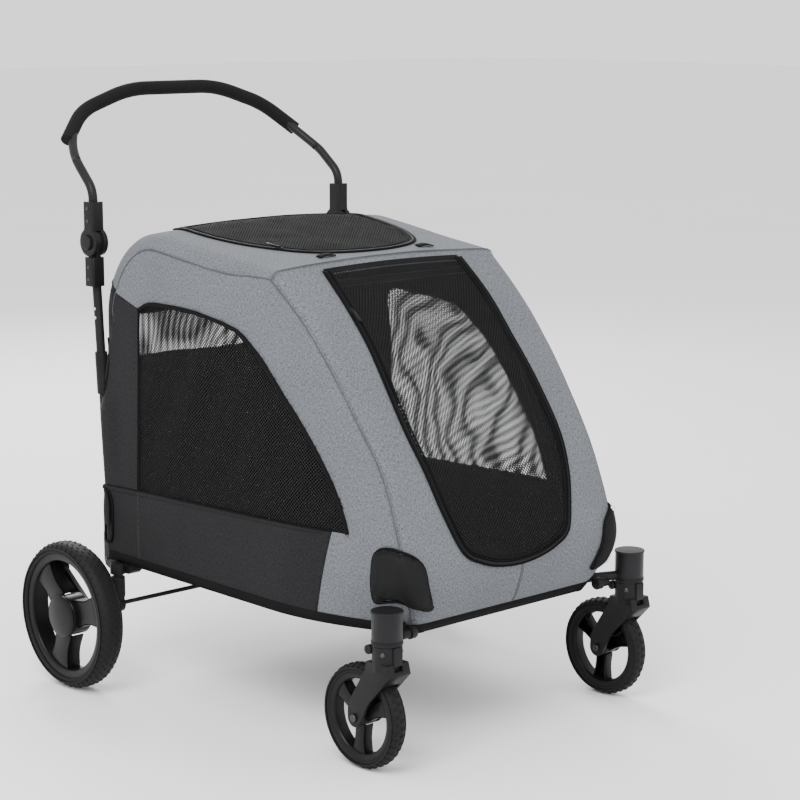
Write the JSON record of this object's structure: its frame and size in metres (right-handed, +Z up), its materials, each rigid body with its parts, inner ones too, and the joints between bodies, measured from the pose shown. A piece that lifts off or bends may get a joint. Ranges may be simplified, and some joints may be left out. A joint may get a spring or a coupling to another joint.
{
  "type": "pet stroller",
  "caption": "folding four-wheel dog stroller with a grey fabric cabin, mesh door, side windows and roof hatch, swivel front casters and a tilting padded push handle",
  "frame": {"origin": "on the floor below the middle of the outline", "axes": "+Z up, +X to the left of someone pushing, -Y forwards, in metres"},
  "size_m": [0.8182, 0.946, 1.044],
  "materials": {
    "frame_paint": "satin black powder coat",
    "axle_steel": "blackened steel",
    "dark_plastic": "fine-grained black nylon",
    "rim_plastic": "semi-gloss black",
    "tyre": "matt moulded tread",
    "foam": "matt closed-cell foam",
    "grey_fabric": "melange grey woven polyester",
    "black_fabric": "charcoal woven polyester",
    "mesh_fabric": "open black mesh",
    "board": "black board"
  },
  "bodies": {
    "base": {"base_rail": "frame_paint", "rear_axle": "axle_steel", "floor_board": "board", "floor_mat": "black_fabric", "rear_panel": "black_fabric", "front_panel": "grey_fabric", "rear_bracket_left": "dark_plastic", "rear_strut_left": "frame_paint", "strut_foot_left": "dark_plastic", "front_arm_left": "frame_paint", "caster_post_left": "dark_plastic", "side_panel_left": "grey_fabric", "side_window_left": "mesh_fabric", "front_pad_left": "black_fabric", "rear_pad_left": "black_fabric", "rear_bracket_right": "dark_plastic", "rear_strut_right": "frame_paint", "strut_foot_right": "dark_plastic", "front_arm_right": "frame_paint", "caster_post_right": "dark_plastic", "side_panel_right": "grey_fabric", "side_window_right": "mesh_fabric", "front_pad_right": "black_fabric", "rear_pad_right": "black_fabric"},
    "canopy": {"roof_panel": "grey_fabric"},
    "front_door": {"front_door": "mesh_fabric"},
    "roof_hatch": {"roof_hatch": "mesh_fabric"},
    "front_bow": {"front_bow": "frame_paint"},
    "uprights": {"upright_tube_left": "frame_paint", "fold_knuckle_left": "dark_plastic", "hinge_sleeve_left": "dark_plastic", "upright_tube_right": "frame_paint", "fold_knuckle_right": "dark_plastic", "hinge_sleeve_right": "dark_plastic"},
    "handle": {"handle_tube": "frame_paint", "foam_grip": "foam", "handle_knuckle_left": "dark_plastic", "handle_knuckle_right": "dark_plastic"},
    "fold_lock_left": {"fold_lock_left": "dark_plastic"},
    "handle_button_left": {"handle_button_left": "dark_plastic"},
    "brake_pedal_left": {"brake_pedal_left": "dark_plastic"},
    "rear_wheel_left": {"rear_tyre_left": "tyre", "rear_rim_left": "rim_plastic", "hub_cap_left": "rim_plastic"},
    "caster_left": {"caster_fork_left": "dark_plastic", "caster_bolt_left": "axle_steel"},
    "front_wheel_left": {"front_tyre_left": "tyre", "front_rim_left": "rim_plastic"},
    "swivel_lock_left": {"swivel_lock_left": "dark_plastic"},
    "fold_lock_right": {"fold_lock_right": "dark_plastic"},
    "handle_button_right": {"handle_button_right": "dark_plastic"},
    "brake_pedal_right": {"brake_pedal_right": "dark_plastic"},
    "rear_wheel_right": {"rear_tyre_right": "tyre", "rear_rim_right": "rim_plastic", "hub_cap_right": "rim_plastic"},
    "caster_right": {"caster_fork_right": "dark_plastic", "caster_bolt_right": "axle_steel"},
    "front_wheel_right": {"front_tyre_right": "tyre", "front_rim_right": "rim_plastic"},
    "swivel_lock_right": {"swivel_lock_right": "dark_plastic"}
  },
  "joints": [
    {"name": "frame_fold", "type": "hinge", "parent": "base", "child": "uprights", "pos_m": [0, 0.315, 0.245], "axis": [1, 0, 0], "range_deg": [0, 88], "deforming": ["rear_panel", "front_panel", "side_panel_left", "side_window_left", "front_pad_left", "rear_pad_left", "side_panel_right", "side_window_right", "front_pad_right", "rear_pad_right"]},
    {"name": "canopy_drop", "type": "slide", "parent": "base", "child": "canopy", "axis": [0, 0, -1], "range_m": [0, 0.376]},
    {"name": "door_open", "type": "hinge", "parent": "canopy", "child": "front_door", "pos_m": [0, -0.146, 0.748], "axis": [1, 0, 0], "range_deg": [-110, 0], "deforming": ["front_door"]},
    {"name": "hatch_open", "type": "hinge", "parent": "canopy", "child": "roof_hatch", "pos_m": [0, 0.196, 0.7965], "axis": [1, 0, 0], "range_deg": [-88, 0]},
    {"name": "bow_fold", "type": "hinge", "parent": "base", "child": "front_bow", "pos_m": [0, -0.4, 0.245], "axis": [1, 0, 0], "range_deg": [-62.1, 0]},
    {"name": "handle_tilt", "type": "hinge", "parent": "uprights", "child": "handle", "pos_m": [0, 0.317, 0.7745], "axis": [1, 0, 0], "range_deg": [-105, 20]},
    {"name": "fold_lock_left_slide", "type": "slide", "parent": "uprights", "child": "fold_lock_left", "axis": [0.0434, 0.0038, 0.9991], "range_m": [0, 0.018]},
    {"name": "handle_button_left_press", "type": "slide", "parent": "handle", "child": "handle_button_left", "axis": [-1, 0, 0], "range_m": [0, 0.003], "stiffness_N_per_m": 1500},
    {"name": "brake_pedal_left_tilt", "type": "hinge", "parent": "base", "child": "brake_pedal_left", "pos_m": [0.345, 0.273, 0.13], "axis": [1, 0, 0], "range_deg": [-25, 0]},
    {"name": "rear_wheel_left_spin", "type": "hinge", "parent": "base", "child": "rear_wheel_left", "pos_m": [0.38, 0.273, 0.13], "axis": [1, 0, 0], "continuous": true},
    {"name": "caster_left_swivel", "type": "hinge", "parent": "base", "child": "caster_left", "pos_m": [0.2805, -0.44, 0.19], "axis": [0, 0, 1], "continuous": true},
    {"name": "front_wheel_left_spin", "type": "hinge", "parent": "caster_left", "child": "front_wheel_left", "pos_m": [0.2805, -0.388, 0.085], "axis": [1, 0, 0], "continuous": true},
    {"name": "swivel_lock_left_slide", "type": "slide", "parent": "caster_left", "child": "swivel_lock_left", "axis": [0, 0, -1], "range_m": [0, 0.008]},
    {"name": "fold_lock_right_slide", "type": "slide", "parent": "uprights", "child": "fold_lock_right", "axis": [-0.0434, 0.0038, 0.9991], "range_m": [0, 0.018]},
    {"name": "handle_button_right_press", "type": "slide", "parent": "handle", "child": "handle_button_right", "axis": [1, 0, 0], "range_m": [0, 0.003], "stiffness_N_per_m": 1500},
    {"name": "brake_pedal_right_tilt", "type": "hinge", "parent": "base", "child": "brake_pedal_right", "pos_m": [-0.345, 0.273, 0.13], "axis": [1, 0, 0], "range_deg": [-25, 0]},
    {"name": "rear_wheel_right_spin", "type": "hinge", "parent": "base", "child": "rear_wheel_right", "pos_m": [-0.38, 0.273, 0.13], "axis": [1, 0, 0], "continuous": true},
    {"name": "caster_right_swivel", "type": "hinge", "parent": "base", "child": "caster_right", "pos_m": [-0.2805, -0.44, 0.19], "axis": [0, 0, 1], "continuous": true},
    {"name": "front_wheel_right_spin", "type": "hinge", "parent": "caster_right", "child": "front_wheel_right", "pos_m": [-0.2805, -0.388, 0.085], "axis": [1, 0, 0], "continuous": true},
    {"name": "swivel_lock_right_slide", "type": "slide", "parent": "caster_right", "child": "swivel_lock_right", "axis": [0, 0, -1], "range_m": [0, 0.008]}
  ],
  "couplings": [
    {"joint": "canopy_drop", "follows": "frame_fold", "m_per_rad": 0.24416},
    {"joint": "bow_fold", "follows": "frame_fold", "ratio": -0.70455}
  ]
}
